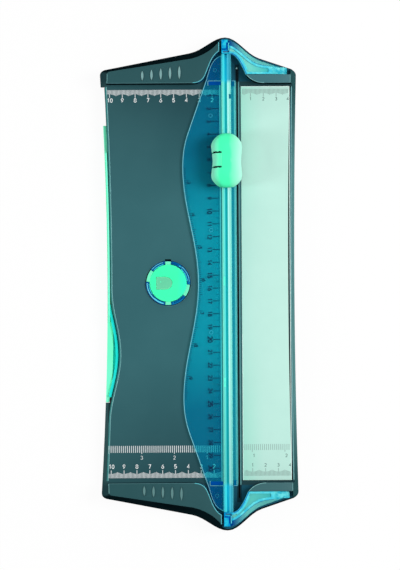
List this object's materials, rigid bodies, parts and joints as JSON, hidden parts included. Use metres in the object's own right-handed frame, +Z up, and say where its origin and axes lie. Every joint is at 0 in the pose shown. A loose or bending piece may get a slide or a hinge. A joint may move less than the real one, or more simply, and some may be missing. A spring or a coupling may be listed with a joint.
{
  "type": "paper trimmer",
  "caption": "Sliding-head paper trimmer with a waisted base, fences, hinged see-through ruler rail, push-down rotary cutter, blade store in the deck and a swing-out side arm.",
  "frame": {"origin": "middle of the bounding box, on the table under the rubber feet", "axes": "+X across the cut towards the side table, +Y along the cut towards the rear fence, +Z up"},
  "size_m": [0.1537, 0.386, 0.0416],
  "materials": {
    "base_plastic": "fine satin moulding",
    "clear_blue": "see-through polished",
    "mint_plastic": "glossy",
    "arm_mint": "satin",
    "pale_plate": "satin",
    "strip_black": "matt",
    "smoke_window": "see-through",
    "grey_plastic": "satin",
    "dark_plastic": "satin",
    "foot_rubber": "matt",
    "steel": "brushed"
  },
  "bodies": {
    "base": {"base_shell": "base_plastic", "bottom_cover": "dark_plastic", "cover_screws": "steel", "rubber_feet": "foot_rubber", "side_table_plate": "pale_plate", "cutting_strip": "strip_black", "hinge_pin_rear": "steel", "hinge_pin_front": "steel", "blade_store_cup": "dark_plastic", "spare_cassette": "grey_plastic", "spare_axle": "steel", "spare_blade": "steel", "arm_pivot_pin": "steel", "arm_friction_washer": "grey_plastic"},
    "store_ring": {"blade_store_ring": "clear_blue"},
    "store_cap": {"blade_store_cap": "mint_plastic", "cap_window": "smoke_window"},
    "side_arm": {"extension_arm": "arm_mint"},
    "rail": {"pressure_rail": "clear_blue", "hinge_arm_rear": "clear_blue", "hinge_arm_front": "clear_blue", "rail_screws": "steel"},
    "carriage": {"slide_carriage": "dark_plastic", "press_springs": "steel"},
    "cutter_head": {"head_cover": "mint_plastic", "blade_cassette": "grey_plastic", "blade_axle": "steel"},
    "tab": {"release_tab": "mint_plastic"},
    "blade": {"rotary_blade": "steel"}
  },
  "joints": [
    {"name": "rail_lift", "type": "hinge", "parent": "base", "child": "rail", "pos_m": [0.066, 0, 0.0195], "axis": [0, 1, 0], "range_deg": [0, 70]},
    {"name": "carriage_slide", "type": "slide", "parent": "rail", "child": "carriage", "axis": [0, 1, 0], "range_m": [-0.246, 0.057]},
    {"name": "head_press", "type": "slide", "parent": "carriage", "child": "cutter_head", "axis": [0, 0, 1], "range_m": [-0.003, 0], "stiffness_N_per_m": 600, "springref_m": 0.002, "deforming": ["press_springs"]},
    {"name": "tab_press", "type": "hinge", "parent": "cutter_head", "child": "tab", "pos_m": [0.0179, 0.0945, 0.0399], "axis": [0, 1, 0], "range_deg": [-4, 0], "stiffness_Nm_per_rad": 0.05, "springref_deg": 2.86},
    {"name": "blade_spin", "type": "hinge", "parent": "cutter_head", "child": "blade", "pos_m": [0.0306, 0.0945, 0.0212], "axis": [1, 0, 0], "continuous": true},
    {"name": "store_turn", "type": "hinge", "parent": "base", "child": "store_ring", "pos_m": [-0.024, 0, 0.014], "axis": [0, 0, 1], "range_deg": [0, 60]},
    {"name": "store_cap_lift", "type": "slide", "parent": "store_ring", "child": "store_cap", "axis": [0, 0, 1], "range_m": [0, 0.03]},
    {"name": "side_arm_swing", "type": "hinge", "parent": "base", "child": "side_arm", "pos_m": [-0.065, 0.113, 0.008], "axis": [0, 0, -1], "range_deg": [0, 90]}
  ]
}
